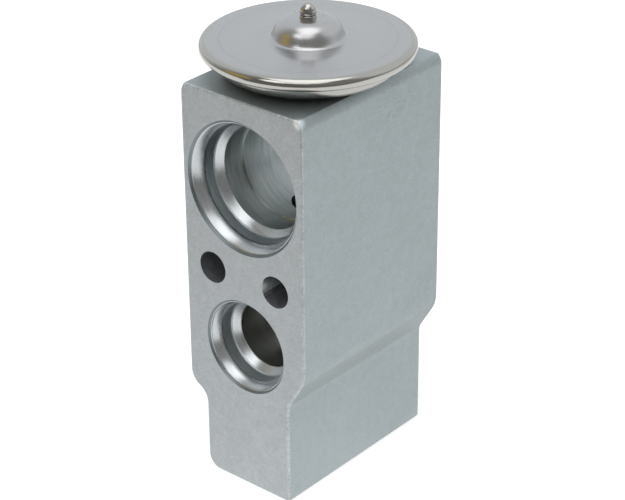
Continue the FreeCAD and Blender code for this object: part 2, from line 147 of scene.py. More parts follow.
def blasted_skin(name, colour, grain, lined):
    """Aluminium blasted with grit and tumbled. Its shade is multiplied by noise at three sizes,
    each of which varies it by a share: grains of 0.28 mm, mottling of 1.3 mm and clouds of 11 mm.
    Real grains are about 0.1 mm; these are as coarse as the picture needs. The corner of the bar
    between its front, top and right side has a painted highlight, where its shade is doubled."""
    matt = 0.6
    material, tree, shader, place = finish(name, colour, matt)
    noises, factors = [], []
    for size, harshness, share in ((0.28, 0.6, grain), (1.3, 0.5, grain / 2), (11, 0.5, 0.02)):
        noises.append(add(tree, "ShaderNodeTexNoise", {
            "Scale": 1 / (size * MM), "Detail": 2.0, "Roughness": harshness,
        }, {"Vector": place}).outputs["Fac"])
        factors.append(add(tree, "ShaderNodeMapRange", {
            1: noise_low, 2: noise_high, 3: 1 - share, 4: 1 + share,
        }, {"Value": noises[-1]}).outputs[0])
    if lined:
        factors += bar_marks(tree, place)
    # A painted highlight on the corner of the bar: twice the colour at its middle, none past 1.7
    # mm.
    painted_highlight_at = (12.1 * MM, -17.4 * MM, 69.9 * MM)
    away = add(tree, "ShaderNodeVectorMath", {"operation": "DISTANCE", 1: painted_highlight_at}, {0: place})
    factors.append(add(tree, "ShaderNodeMapRange", {
        "interpolation_type": "SMOOTHSTEP", 1: 0.3 * MM, 2: 1.7 * MM, 3: 2.0, 4: 1.0,
    }, {"Value": away.outputs["Value"]}).outputs[0])
    shade = factors[0]
    for factor in factors[1:]:
        shade = add(tree, "ShaderNodeMath", {"operation": "MULTIPLY"}, {
            0: shade, 1: factor,
        }).outputs[0]
    tint = add(tree, "ShaderNodeVectorMath", {
        "operation": "SCALE", 0: linear(colour)[:3],
    }, {"Scale": shade})
    tree.links.new(tint.outputs[0], shader.inputs["Base Color"])
    bump = add(tree, "ShaderNodeBump", {"Strength": 0.3, "Distance": 0.03 * MM}, {
        "Height": noises[0],
    })
    tree.links.new(bump.outputs[0], shader.inputs["Normal"])
    return material


def turned_wall(name, colour, roughness, port_z, mark, chatter=0.08):
    """Aluminium turned about a port's axis. Its marks follow feed = y + 0.6 radius, so they run
    round the walls, the ledge and the blind end alike, and a tenth of the place is added, so that
    they break off. Chatter is the share by which they vary the shade. Real marks are finer than
    0.1 mm; these are as coarse as the picture needs."""
    material, tree, shader, place = finish(name, colour, roughness)
    centred = add(tree, "ShaderNodeMapping", {"Location": (0, 0, -port_z)}, {"Vector": place})
    parts = add(tree, "ShaderNodeSeparateXYZ", {}, {"Vector": centred.outputs[0]})
    across = add(tree, "ShaderNodeCombineXYZ", {}, {
        "X": parts.outputs["X"], "Y": parts.outputs["Z"],
    })
    radius = add(tree, "ShaderNodeVectorMath", {"operation": "LENGTH"}, {0: across.outputs[0]})
    feed = add(tree, "ShaderNodeMath", {"operation": "MULTIPLY_ADD", 1: 0.6}, {
        0: radius.outputs["Value"], 2: parts.outputs["Y"],
    })
    along = add(tree, "ShaderNodeCombineXYZ", {}, {"X": feed.outputs[0]})
    tenth = add(tree, "ShaderNodeVectorMath", {"operation": "SCALE", "Scale": 0.1}, {
        0: centred.outputs[0],
    })
    line = add(tree, "ShaderNodeVectorMath", {"operation": "ADD"}, {
        0: tenth.outputs[0], 1: along.outputs[0],
    })
    marks = add(tree, "ShaderNodeTexNoise", {
        "Scale": 1 / mark, "Detail": 3.0, "Roughness": 0.7,
    }, {"Vector": line.outputs[0]})
    shine = add(tree, "ShaderNodeMapRange", {3: roughness * 0.7, 4: roughness * 1.3}, {
        "Value": marks.outputs["Fac"],
    })
    tree.links.new(shine.outputs[0], shader.inputs["Roughness"])
    lines = add(tree, "ShaderNodeMapRange", {
        1: 0.35, 2: 0.65, 3: 1 - chatter, 4: 1 + chatter,
    }, {"Value": marks.outputs["Fac"]})
    tint = add(tree, "ShaderNodeVectorMath", {
        "operation": "SCALE", 0: linear(colour)[:3],
    }, {"Scale": lines.outputs[0]})
    tree.links.new(tint.outputs[0], shader.inputs["Base Color"])
    bump = add(tree, "ShaderNodeBump", {"Strength": 0.4, "Distance": 0.01 * MM}, {
        "Height": marks.outputs["Fac"],
    })
    tree.links.new(bump.outputs[0], shader.inputs["Normal"])
    return material


def read(items, name, width=1, kind=np.float64):
    """One property of all of a mesh's items, as an array with a row for each."""
    values = np.empty(width * len(items), kind)
    items.foreach_get(name, values)
    return values.reshape(-1, width) if width > 1 else values


def milled_top(points):
    """The top is milled after the bar was extruded, and cuts its corner rounds at a crisp edge. A
    point at depth d under the solid's round and angle t from its top goes to depth d under the
    bar's own round, at angle t0 + t (90 - t0) / 90, with t0 where the milled face, d lower, cuts
    that round."""
    solid_round, bar_round, cut_height = 1.9 * MM, 2.5 * MM, 1.834 * MM
    half_width, top, deepest = 12.5 * MM, 70 * MM, 0.5 * MM
    across = np.abs(points[:, 0]) - (half_width - solid_round)
    height = points[:, 2] - (top - solid_round)
    reach = np.hypot(across, height)
    corner = (across > -hair) & (height > -hair) & (reach > solid_round - deepest)
    sunk = solid_round - reach[corner]
    start = np.arccos((cut_height - sunk) / (bar_round - sunk))
    turn = start + np.arctan2(across[corner], height[corner]) * (1 - start / (np.pi / 2))
    out = half_width - bar_round + (bar_round - sunk) * np.sin(turn)
    points[corner, 0] = np.sign(points[corner, 0]) * out
    points[corner, 2] = top - cut_height + (bar_round - sunk) * np.cos(turn)
    return points


def carried_normals(points, centres, normals, corner_vertex, corner_face, axes):
    """Each corner's face normal n, carried round the axis that the face was turned about, from the
    face's angle a to the corner's angle b: n' = R(b - a) n. With them come the faces' normals as
    they stand in the turned profile, which is n' at b = 0. An axis is (upright, x, y or z, and a
    test on the faces' centres)."""
    carried, profile = normals[corner_face].copy(), normals.copy()
    for upright, first, second, chosen in axes:
        u, v = (0, 1) if upright else (0, 2)
        mine = chosen(centres)
        angle = np.arctan2(centres[:, v] - second, centres[:, u] - first)
        flat_u = normals[:, u] * np.cos(angle) + normals[:, v] * np.sin(angle)
        flat_v = normals[:, v] * np.cos(angle) - normals[:, u] * np.sin(angle)
        profile[mine, u], profile[mine, v] = flat_u[mine], flat_v[mine]
        at = mine[corner_face]
        place, face = points[corner_vertex[at]], corner_face[at]
        turn = np.arctan2(place[:, v] - second, place[:, u] - first)
        carried[at, u] = flat_u[face] * np.cos(turn) - flat_v[face] * np.sin(turn)
        carried[at, v] = flat_u[face] * np.sin(turn) + flat_v[face] * np.cos(turn)
    return carried, profile


def shaded_corners(carried, profile, areas, corner_vertex, corner_face, vertex_count):
    """The normal that each corner shades with: the mean of the distinct carried normals round its
    vertex that lie within 18.5 degrees of its own or, where a surface of over 100 square mm is
    among them, that surface's. Slivers count for none but their own corners."""
    per_unit, near, outweighs = 60, math.cos(math.radians(18.5)), 1e6
    broad_area, sliver = 100 * MM**2, 1e-4 * MM**2
    kinds = np.unique(np.round(profile * per_unit).astype(int), axis=0, return_inverse=True)[1]
    kinds = kinds.ravel()
    broad = np.bincount(kinds, areas)[kinds] > broad_area
    order = np.argsort(corner_vertex, kind="stable")
    count = np.bincount(corner_vertex, minlength=vertex_count)
    start = np.cumsum(count) - count
    around = count[corner_vertex[order]]
    own = np.repeat(order, around)
    step = np.arange(len(own)) - np.repeat(np.cumsum(around) - around, around)
    other = order[start[corner_vertex[own]] + step]
    close = np.einsum("ij,ij->i", carried[own], carried[other]) > near
    sound = (areas[corner_face[other]] > sliver) | (own == other)
    own, other = own[close & sound], other[close & sound]
    key = np.c_[own, np.round(carried[other] * per_unit).astype(int)]
    distinct = np.unique(key, axis=0, return_index=True)[1]
    own, other = own[distinct], other[distinct]
    weight = np.where(broad[corner_face[other]], outweighs, 1.0)
    total = np.stack([
        np.bincount(own, weight * carried[other, i], len(carried)) for i in range(3)
    ], axis=1)
    return total / np.maximum(np.linalg.norm(total, axis=1, keepdims=True), 1e-12)


def smooth_copy(node_name, axes=(), taken_out=None, strips=(), reshaped=None):
    """A copy of a CAD node, with its doubles merged, that shades as the solid does. The faces that
    taken_out chooses are left out, and strips, which are (points, normals, triangles, finish),
    take their place. Reshaped moves its points first."""
    mesh = bpy.data.meshes.new(node_name + "_finished")
    joined = bmesh.new()
    joined.from_mesh(frame["nodes"][node_name].data)
    bmesh.ops.remove_doubles(joined, verts=joined.verts, dist=0.002 * MM)
    joined.to_mesh(mesh)
    joined.free()
    mesh.shade_smooth()
    points = read(mesh.vertices, "co", 3)
    if reshaped:
        points = reshaped(points)
        mesh.vertices.foreach_set("co", points.ravel())
        mesh.update()
    centres = read(mesh.polygons, "center", 3)
    areas = read(mesh.polygons, "area")
    corner_vertex = read(mesh.loops, "vertex_index", kind=np.int32)
    corners = read(mesh.polygons, "loop_total", kind=np.int32)
    corner_face = np.repeat(np.arange(len(areas)), corners)
    carried, profile = carried_normals(
        points, centres, read(mesh.polygons, "normal", 3), corner_vertex, corner_face, axes)
    shading = shaded_corners(carried, profile, areas, corner_vertex, corner_face, len(points))
    if len(strips):
        kept = ~taken_out(centres)
        triangles = [corner_vertex.reshape(-1, 3)[kept]]
        shadings = [shading.reshape(-1, 3, 3)[kept]]
        finishes, shift = [np.zeros(kept.sum(), np.int32)], len(points)
        for place, normal, faces, finish_index in strips:
            triangles.append(faces + shift)
            shadings.append(normal[faces])
            finishes.append(np.full(len(faces), finish_index, np.int32))
            points, shift = np.r_[points, place], shift + len(place)
        mesh.clear_geometry()
        mesh.from_pydata(points.tolist(), [], np.concatenate(triangles).tolist())
        mesh.polygons.foreach_set("material_index", np.concatenate(finishes))
        mesh.shade_smooth()
        shading = np.concatenate(shadings).reshape(-1, 3)
    mesh.normals_split_custom_set(shading)
    piece = bpy.data.objects.new(node_name + "_finished", mesh)
    scene.collection.objects.link(piece)
    bodies = frame["record"]["behaviour"]["bodies"]
    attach(piece, next(body for body, nodes in bodies.items() if node_name in nodes))
    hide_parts(node_name)
    return piece


# Where the ports, the bolt holes and the upright bores lie, which tells the solid's faces apart.
suction_z = 55 * MM
liquid_z = 26.5 * MM
bolt_z = 39 * MM
bolt_x = 6.65 * MM
axis_y = -1.1 * MM
hair = 0.001 * MM
block_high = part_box("valve_block")[1]


def depth(centres):
    """How far behind the nearer cut face each place lies."""
    return block_high[1] - np.abs(centres[:, 1])


def off_axis(centres, x, z):
    """How far each place lies from the axis that runs from front to back through x and z."""
    return np.hypot(centres[:, 0] - x, centres[:, 2] - z)


def between(values, low, high):
    """Which values lie between two that are given in mm."""
    return (values > low * MM) & (values < high * MM)


def in_suction(centres):
    """The faces of the large port on each side, and of the passage that joins the two."""
    off = off_axis(centres, 0, suction_z)
    return (off < 8.8 * MM) | (between(depth(centres), 0.001, 5.7) & (off < 11.6 * MM))


def in_liquid(centres):
    """The faces of the small port on each side, down to its blind end."""
    return between(depth(centres), 0.001, 10.8) & (off_axis(centres, 0, liquid_z) < 8.45 * MM)


def in_left_bolt(centres):
    """The faces of the bolt hole on the left, which runs right through."""
    return (depth(centres) > hair) & (off_axis(centres, -bolt_x, bolt_z) < 2.9 * MM)


def in_right_bolt(centres):
    """The faces of the bolt hole on the right."""
    return (depth(centres) > hair) & (off_axis(centres, bolt_x, bolt_z) < 2.9 * MM)


def in_upright(centres):
    """The faces of the bores on the valve's own axis. Only the head's socket, above 60 mm, is wider
    than the adjuster's mouth."""
    off = np.hypot(centres[:, 0], centres[:, 1] - axis_y)
    within = (centres[:, 2] > hair) & (centres[:, 2] < block_high[2] - hair)
    reach = np.where(centres[:, 2] > 60 * MM, 11 * MM, 6.45 * MM)
    return within & (off < reach) & ~in_suction(centres) & ~in_liquid(centres)


def in_mouths(centres):
    """The faces between each port's rim and its bore, which finer turned strips stand for."""
    sunk = depth(centres)
    large = between(sunk, 0.001, 5.59) & between(off_axis(centres, 0, suction_z), 8.76, 11.6)
    small = between(sunk, 0.001, 5.44) & between(off_axis(centres, 0, liquid_z), 5.81, 8.45)
    return large | small


def run(start, end, bow=1.0, steps=2):
    """Part of a port's outline as (radius, depth) rows, with t from 0 to 1 along the depth:
    radius = end + (start - end) (1 - t) ^ bow, so a bow over 1 meets the next wall softly."""
    t = np.linspace(0, 1, steps)
    radius = end[0] + (start[0] - end[0]) * (1 - t) ** bow
    return np.c_[radius, start[1] + (end[1] - start[1]) * t] * MM


def port_strips(centre_z, outwards, outline, angles):
    """Turns each run of an outline about a port's axis. A point at radius r, depth d and angle a
    lies at (r cos a, face + d inwards, centre + r sin a); its normal is the run's own, turned too.
    Outwards is -1 for the front face and 1 for the back one."""
    made = []
    for rows, finish_index in outline:
        along = np.gradient(rows, axis=0)
        along /= np.linalg.norm(along, axis=1, keepdims=True)
        radius, sunk = rows[:, :1], rows[:, 1:]
        towards_axis, out = -along[:, 1:], -along[:, :1] * outwards
        flat = np.ones_like(angles)
        place = np.stack([
            radius * np.cos(angles),
            outwards * (block_high[1] - sunk) * flat,
            centre_z + radius * np.sin(angles),
        ], axis=2)
        normal = np.stack([
            towards_axis * np.cos(angles), out * flat, towards_axis * np.sin(angles),
        ], axis=2)
        count = len(angles)
        row, column = np.meshgrid(np.arange(len(rows) - 1), np.arange(count), indexing="ij")
        a, b = row * count + column, row * count + (column + 1) % count
        if outwards < 0:
            corners = [a, b, b + count, a, b + count, a + count]
        else:
            corners = [a, b + count, b, a, a + count, b + count]
        faces = np.stack([corner.ravel() for corner in corners], axis=1).reshape(-1, 3)
        made.append((place.reshape(-1, 3), normal.reshape(-1, 3), faces, finish_index))
    return made


# The block's finishes, in the order of its material slots.
(EXTRUDED, SAWN, TURNED, BORED, TURNED_SMALL, DRILLED, BOLT_HOLE, EDGE, GLAND, GLAND_SMALL,
 RIM) = range(11)

# The ports' mouths, as (radius, depth) in mm from the rim inwards: the deburred rim, the first
# touch of the tool, the soft lead that lets a ring in, the gland that the ring seals on and the
# corner at its end, the ledge that the pipe stops on, and the broken edge of the bore.
suction_outline = (
    (run((11.45, 0), (11.03, 0.42)), RIM),
    (run((11.03, 0.42), (10.94, 0.46)), TURNED),
    (run((10.94, 0.46), (10.82, 0.6)), TURNED),
    (run((10.82, 0.6), (9.92, 2.5), 1.5, 24), TURNED),
    (run((9.92, 2.5), (9.9, 4.3), 1.0, 3), GLAND),
    (run((9.9, 4.3), (9.76, 4.58)), GLAND),
    (run((9.76, 4.58), (8.79, 5.55), 1.0, 3), TURNED),
    (run((8.79, 5.55), (8.72, 5.64)), TURNED),
)
liquid_outline = (
    (run((8.3, 0), (7.95, 0.35)), RIM),
    (run((7.95, 0.35), (7.85, 0.4)), TURNED_SMALL),
    (run((7.85, 0.4), (7.78, 0.57)), TURNED_SMALL),
    (run((7.78, 0.57), (6.98, 2.25), 1.6, 24), TURNED_SMALL),
    (run((6.98, 2.25), (6.95, 4.15), 1.0, 3), GLAND_SMALL),
    (run((6.95, 4.15), (6.79, 4.42)), GLAND_SMALL),
    (run((6.79, 4.42), (5.84, 5.37), 1.0, 3), TURNED_SMALL),
    (run((5.84, 5.37), (5.77, 5.49)), TURNED_SMALL),
)

# The strips have points at the angles of the solid's own rim, so that no gap opens between them.
cad_points = read(frame["nodes"]["valve_block"].data.vertices, "co", 3)
strips = []
for centre_z, outline in ((suction_z, suction_outline), (liquid_z, liquid_outline)):
    rim = outline[0][0][0, 0]
    off_rim = np.abs(np.hypot(cad_points[:, 0], cad_points[:, 2] - centre_z) - rim)
    for outwards in (-1, 1):
        on_face = np.abs(cad_points[:, 1] - outwards * block_high[1]) < hair / 2
        on_rim = on_face & (off_rim < 3 * hair)
        turn = np.arctan2(cad_points[on_rim, 2] - centre_z, cad_points[on_rim, 0])
        angles = np.unique(np.round(turn, 4))
        if angles[-1] - angles[0] > 6.28:
            angles = angles[:-1]
        strips += port_strips(centre_z, outwards, outline, angles)

block = smooth_copy("valve_block", [
    (False, 0, suction_z, in_suction),
    (False, 0, liquid_z, in_liquid),
    (False, -bolt_x, bolt_z, in_left_bolt),
    (False, bolt_x, bolt_z, in_right_bolt),
    (True, 0, axis_y, in_upright),
], in_mouths, strips, milled_top)
for skin in (
    # The extruded sides: an even grey satin without highlights, faintly streaked along the bar,
    # and painted darker and bluer than the ends as painted shade.
    blasted_skin("blasted_extruded_aluminium_painted_shade", "#B3BCBE", 0.06, True),
    # The sawn ends: the same satin, grainier, and painted a little lighter as painted light.
    blasted_skin("blasted_sawn_aluminium_painted_light", "#BDC2C5", 0.08, False),
    # Leads and ledges: bright bands whose highlights run round with the tool's marks.
    turned_wall("bright_turned_aluminium", "#C6CACC", 0.28, suction_z, 0.4 * MM),
    # The passage and the bores: greyer, with broad, uneven marks of the drill.
    turned_wall("bored_aluminium", "#B7BCBC", 0.34, suction_z, 0.6 * MM, 0.16),
    # The small port's leads and ledges: the same, with marks that run round its own axis.
    turned_wall("bright_turned_aluminium_of_liquid_port", "#C6CACC", 0.28, liquid_z, 0.4 * MM),
    # The small port's blind end: drilled only, so its reflections are wide, and painted darker, so
    # they are dim, as painted shade deep in the port.
    turned_wall("drilled_aluminium_painted_shade", "#9FA09D", 0.4, liquid_z, 0.3 * MM),
    # The bolt holes: drilled and left, so the light gets lost in them and they look dark.
    turned_wall("drilled_bolt_hole_aluminium", "#C2C3C8", 0.5, bolt_z, 0.4 * MM),
    # Edges: knocked in the tumbler, so they are lighter and speckled.
    blasted_skin("tumbled_edge_aluminium", "#C6CCCE", 0.2, False),
    # The glands: reamed to size, a matt even grey between two bright bands.
    turned_wall("reamed_gland_aluminium", "#CDD6D9", 0.45, suction_z, 0.3 * MM),
    turned_wall("reamed_gland_aluminium_of_liquid_port", "#DDE5E8", 0.5, liquid_z, 0.3 * MM),
    # The rims: deburred with a hand tool, and painted dark as a painted reflection, a thin dark
    # line round each port.
    turned_wall("deburred_rim_aluminium_painted_dark", "#838D91", 0.42, suction_z, 0.3 * MM),
):
    block.data.materials.append(skin)

# The solid's own faces take their finish from where they lie.
centres = read(block.data.polygons, "center", 3)
facing = np.abs(read(block.data.polygons, "normal", 3)[:, 1])
choice = read(block.data.polygons, "material_index", kind=np.int32)
from_solid = choice == EXTRUDED
choice[from_solid & (facing > 0.99)] = SAWN
choice[(choice == EXTRUDED) & (depth(centres) < 0.41 * MM)] = EDGE
choice[from_solid & in_suction(centres)] = BORED
choice[from_solid & in_liquid(centres)] = DRILLED
choice[from_solid & (in_left_bolt(centres) | in_right_bolt(centres))] = BOLT_HOLE
choice[from_solid & in_upright(centres)] = BORED
block.data.polygons.foreach_set("material_index", choice)

# The power head's two covers: stainless sheet, pressed to shape and spun bright. The upper one's
# edge is rolled round the lower one's flange, with the diaphragm between them, and welded.


def top_marks(tree, shader, place, radius, smear, colour):
    """What only the upper cover's face shows: a rim painted darker and warmer as a painted
    reflection, whose inner edge the smears move by up to 0.6 mm, a ring that the press left, and
    two specks on the dome."""
    # The rim's painted reflection: from about 16 mm out the colour turns to a darker, warmer grey.
    rim, painted_reflection_colour, wander = 16.0 * MM, "#B2B1AC", 1.2 * MM
    worn = add(tree, "ShaderNodeMath", {
        "operation": "MULTIPLY_ADD", 1: wander, 2: rim - wander / 2,
    }, {0: smear})
    outside = add(tree, "ShaderNodeMath", {"operation": "SUBTRACT"}, {
        0: radius, 1: worn.outputs[0],
    })
    share = add(tree, "ShaderNodeMapRange", {
        "interpolation_type": "SMOOTHSTEP", 1: -0.3 * MM, 2: 0.5 * MM,
    }, {"Value": outside.outputs[0]})
    shade = add(tree, "ShaderNodeMix", {
        "data_type": "RGBA", 6: linear(colour), 7: linear(painted_reflection_colour),
    }, {0: share.outputs[0]})
    ring = add(tree, "ShaderNodeMath", {
        "operation": "COMPARE", 1: 14.1 * MM, 2: 0.14 * MM,
    }, {0: radius})
    darker = add(tree, "ShaderNodeMath", {
        "operation": "MULTIPLY_ADD", 1: -0.07, 2: 1.0,
    }, {0: ring.outputs[0]})
    for x, y, z in ((-3.2, -0.6, 78.8), (1.6, 0.55, 78.8)):
        away = add(tree, "ShaderNodeVectorMath", {
            "operation": "DISTANCE", 1: (x * MM, y * MM, z * MM),
        }, {0: place})
        speck = add(tree, "ShaderNodeMapRange", {
            1: 0.12 * MM, 2: 0.25 * MM, 3: 0.45, 4: 1.0,
        }, {"Value": away.outputs["Value"]})
        darker = add(tree, "ShaderNodeMath", {"operation": "MULTIPLY"}, {
            0: darker.outputs[0], 1: speck.outputs[0],
        })
    marked = add(tree, "ShaderNodeVectorMath", {"operation": "SCALE"}, {
        0: shade.outputs[2], "Scale": darker.outputs[0],
    })
    tree.links.new(marked.outputs[0], shader.inputs["Base Color"])


def turned_finish(name, colour, roughness, mark, strength=0.2, zones=(), marks_on=None):
    """Metal spun or turned about the valve's axis. Its rings follow radius + 0.8 height, and smears
    of about 5 mm vary the polish. A zone is (from radius, to radius, factor inside, factor outside)
    in mm, and multiplies the roughness. Real rings are finer than 0.1 mm; these are as coarse as
    the picture needs."""
    material, tree, shader, place = finish(name, colour, roughness)
    centred = add(tree, "ShaderNodeMapping", {"Location": (0, -axis_y, 0)}, {"Vector": place})
    parts = add(tree, "ShaderNodeSeparateXYZ", {}, {"Vector": centred.outputs[0]})
    across = add(tree, "ShaderNodeCombineXYZ", {}, {
        "X": parts.outputs["X"], "Y": parts.outputs["Y"],
    })
    radius = add(tree, "ShaderNodeVectorMath", {"operation": "LENGTH"}, {
        0: across.outputs[0],
    }).outputs["Value"]
    feed = add(tree, "ShaderNodeMath", {"operation": "MULTIPLY_ADD", 1: 0.8}, {
        0: parts.outputs["Z"], 2: radius,
    })
    line = add(tree, "ShaderNodeCombineXYZ", {}, {"X": feed.outputs[0]})
    rings = add(tree, "ShaderNodeTexNoise", {
        "Scale": 1 / mark, "Detail": 3.0, "Roughness": 0.7,
    }, {"Vector": line.outputs[0]}).outputs["Fac"]
    smear = add(tree, "ShaderNodeTexNoise", {
        "Scale": 1 / (5 * MM), "Detail": 4.0,
    }, {"Vector": place}).outputs["Fac"]
    both = add(tree, "ShaderNodeMath", {"operation": "MULTIPLY_ADD", 1: 0.5}, {
        0: smear, 2: rings,
    })
    shine = add(tree, "ShaderNodeMapRange", {
        1: 0.4, 2: 1.1, 3: roughness * 0.8, 4: roughness * 1.25,
    }, {"Value": both.outputs[0]})
    for start, end, inside, outside in zones:
        factor = add(tree, "ShaderNodeMapRange", {
            1: start * MM, 2: end * MM, 3: inside, 4: outside,
        }, {"Value": radius})
        shine = add(tree, "ShaderNodeMath", {"operation": "MULTIPLY"}, {
            0: shine.outputs[0], 1: factor.outputs[0],
        })
    tree.links.new(shine.outputs[0], shader.inputs["Roughness"])
    if marks_on:
        marks_on(tree, shader, place, radius, smear, colour)
    bump = add(tree, "ShaderNodeBump", {"Strength": strength, "Distance": 0.01 * MM}, {
        "Height": rings,
    })
    tree.links.new(bump.outputs[0], shader.inputs["Normal"])
    return material


# Spun and brushed on its face, so the disc is one soft even sheen. It is brighter close round the
# dome, which it mirrors there, and the rolled bead is the brightest of all.
stainless_top = turned_finish("brushed_stainless_sheet", "#B9B9BA", 0.26, 0.3 * MM, 0.5, (
    (8.3, 8.7, 1.0, 0.6),
    (9.5, 13, 1.0, 1.8),
    (15.6, 16.4, 1.0, 0.35),
), top_marks)
# As it left the press: wide, soft highlights round the bowl.
stainless_low = turned_finish("bright_stainless_sheet", "#B2B1AC", 0.27, 0.3 * MM)
upright_axis = [(True, 0, axis_y, lambda centres: np.full(len(centres), True))]
for cover, sheet in (("upper_cover", stainless_top), ("lower_cover", stainless_low)):
    piece = smooth_copy(cover, upright_axis)
    piece.data.materials.append(sheet)

# The charging collar and ball: turned and ground steel. The collar is pressed into the dome, the
# head is filled through it, and the ball is then welded on to close it.

# Polished: sharp dark and light reflections with hardly a ring in them.
polished = turned_finish("polished_steel", "#B4B2AE", 0.1, 0.2 * MM, 0.05)
for name, slot in (("charge_collar", "turned_steel"), ("charge_ball", "bright_steel")):
    piece = smooth_copy(name, upright_axis)
    piece.data.materials.append(polished)

# The diaphragm: a waved disc of thin stainless sheet, held and welded between the covers' rims. It
# keeps its CAD mesh, as all the pieces inside do, and takes the lower cover's finish.


def dress(material, *nodes):
    """Gives CAD nodes a finish. Their meshes stay as they are."""
    for node in nodes:
        for slot in frame["nodes"][node].material_slots:
            slot.material = material


dress(stainless_low, "diaphragm")

# The steel pieces inside, turned from bar: the neck that screws the head into the block, the
# washer on the rod's seal, the hardened orifice seat, and the cup that carries the ball.

# Fine rings and broad soft highlights on a plain grey.
dress(turned_finish("turned_steel", "#A9A9A9", 0.3, 0.25 * MM),
      "threaded_neck", "seal_washer", "orifice_seat", "ball_carrier")

# The push rod and the valve's ball: steel, ground and polished. The rod stands loose in the pad's
# hub and pushes the ball off its seat.

dress(polished, "push_rod", "valve_ball")

# The thrust pad: turned aluminium, a light plate with a hub. It lies loose under the diaphragm and
# passes its push on to the rod.

# Lighter than the steel beside it, with the same fine rings.
dress(turned_finish("turned_aluminium", "#C5C7C9", 0.3, 0.25 * MM), "thrust_pad")

# The springs and the seal's cup: drawn wire and sheet of spring steel. The cup is pushed into its
# well and the damper's legs press on the chamber's wall.

# Hardened and left as drawn: a darker grey with dull highlights.
dress(turned_finish("drawn_spring_steel", "#85868A", 0.35, 0.25 * MM),
      "seal_retainer", "damper_spring", "superheat_spring")

# The superheat spring: wire coiled between its seat and the ball's carrier. Its copy stands on the
# seat.

coil_mesh = frame["nodes"]["superheat_spring"].data.copy()
coil = bpy.data.objects.new("superheat_spring_finished", coil_mesh)
scene.collection.objects.link(coil)
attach(coil, "block")
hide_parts("superheat_spring")
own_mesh(coil)

# The adjuster: a brass screw in the foot with a hexagon socket, and the plate on its nose that
# the spring stands on. Both are turned from bar.

# Yellow metal with fine rings, bright where the tool last ran.
dress(turned_finish("turned_brass", "#C9A45C", 0.25, 0.25 * MM), "spring_seat", "adjusting_screw")

# The rubber rings: moulded, one under the head, one round the rod and one in the screw's groove.
# Each is squeezed a little in its groove.

# Moulded rubber: near black and matt, with the mould's fine grain of about 0.4 mm.
rubber, rubber_tree, rubber_shader, rubber_place = finish("moulded_rubber", "#161616", 0.6, 0.0)
rubber_grain = add(rubber_tree, "ShaderNodeTexNoise", {"Scale": 1 / (0.4 * MM)}, {
    "Vector": rubber_place,
})
rubber_bump = add(rubber_tree, "ShaderNodeBump", {"Strength": 0.1, "Distance": 0.02 * MM}, {
    "Height": rubber_grain.outputs["Fac"],
})
rubber_tree.links.new(rubber_bump.outputs[0], rubber_shader.inputs["Normal"])
dress(rubber, "head_ring", "rod_seal", "screw_ring")

# The camera: it stands where the photograph was taken from. Its angles, distance, shift and focal
# length were fitted to the block's edges, ports and waist and to the head's rim.

az, el, roll = math.radians(40.524), math.radians(27.855), math.radians(-0.474)
distance, shift_right, shift_up = 352.247 * MM, -0.339 * MM, 1.982 * MM
middle = Vector((0, 0, 0.035))
focal_pixels, picture_width, sensor_width = 2120.47, 625, 36
back = Vector((math.sin(az) * math.cos(el), -math.cos(az) * math.cos(el), math.sin(el)))
right = Vector((0, 0, 1)).cross(back).normalized()
up = back.cross(right)
tilted_right = right * math.cos(roll) + up * math.sin(roll)
tilted_up = up * math.cos(roll) - right * math.sin(roll)
eye = middle + back * distance + tilted_right * shift_right + tilted_up * shift_up
camera = bpy.data.objects.new("camera", bpy.data.cameras.new("camera"))
camera.data.sensor_width = sensor_width
camera.data.lens = focal_pixels * sensor_width / picture_width
camera.data.clip_start = 0.01
camera.matrix_world = Matrix((
    (tilted_right.x, tilted_up.x, back.x, eye.x),
    (tilted_right.y, tilted_up.y, back.y, eye.y),
    (tilted_right.z, tilted_up.z, back.z, eye.z),
    (0, 0, 0, 1),
))
scene.collection.objects.link(camera)
scene.camera = camera

# The table: white paper that keeps the valve's shadow and is lifted to white for the camera. What
# the metals mirror is painted light and shade: a painted pool of light round the valve that ends
# in painted shade in front of it, towards the camera, and greys far off.

reach, camera_lift, to_camera = 3.0, 0.6, (0.5, -0.87, 0)
painted_pool_glow, far_grey, camera_side_shade = (1.2, 1.2, 1.2, 1.0), linear("#B8B6B2"), linear("#7F7E7C")
floor_mesh = bpy.data.meshes.new("table")
floor_mesh.from_pydata([
    (-reach, -reach, 0), (reach, -reach, 0), (reach, reach, 0), (-reach, reach, 0),
], [], [(0, 1, 2, 3)])
table = bpy.data.objects.new("table", floor_mesh)
scene.collection.objects.link(table)
# Uncoated paper: quite matt, so the shadow on it is soft and nothing shines.
paper, tree, shader, spot = finish("white_paper", "#DCDCDC", 0.9, 0.0)
path = add(tree, "ShaderNodeLightPath")
seen = add(tree, "ShaderNodeMath", {"operation": "MAXIMUM"}, {
    0: path.outputs["Is Camera Ray"], 1: path.outputs["Is Transmission Ray"],
})
lift = add(tree, "ShaderNodeMath", {"operation": "MULTIPLY", 1: camera_lift}, {
    0: seen.outputs[0],
})
glow = add(tree, "ShaderNodeEmission", {"Color": (1, 1, 1, 1)}, {"Strength": lift.outputs[0]})
lifted = add(tree, "ShaderNodeAddShader", {}, {0: shader.outputs[0], 1: glow.outputs[0]})
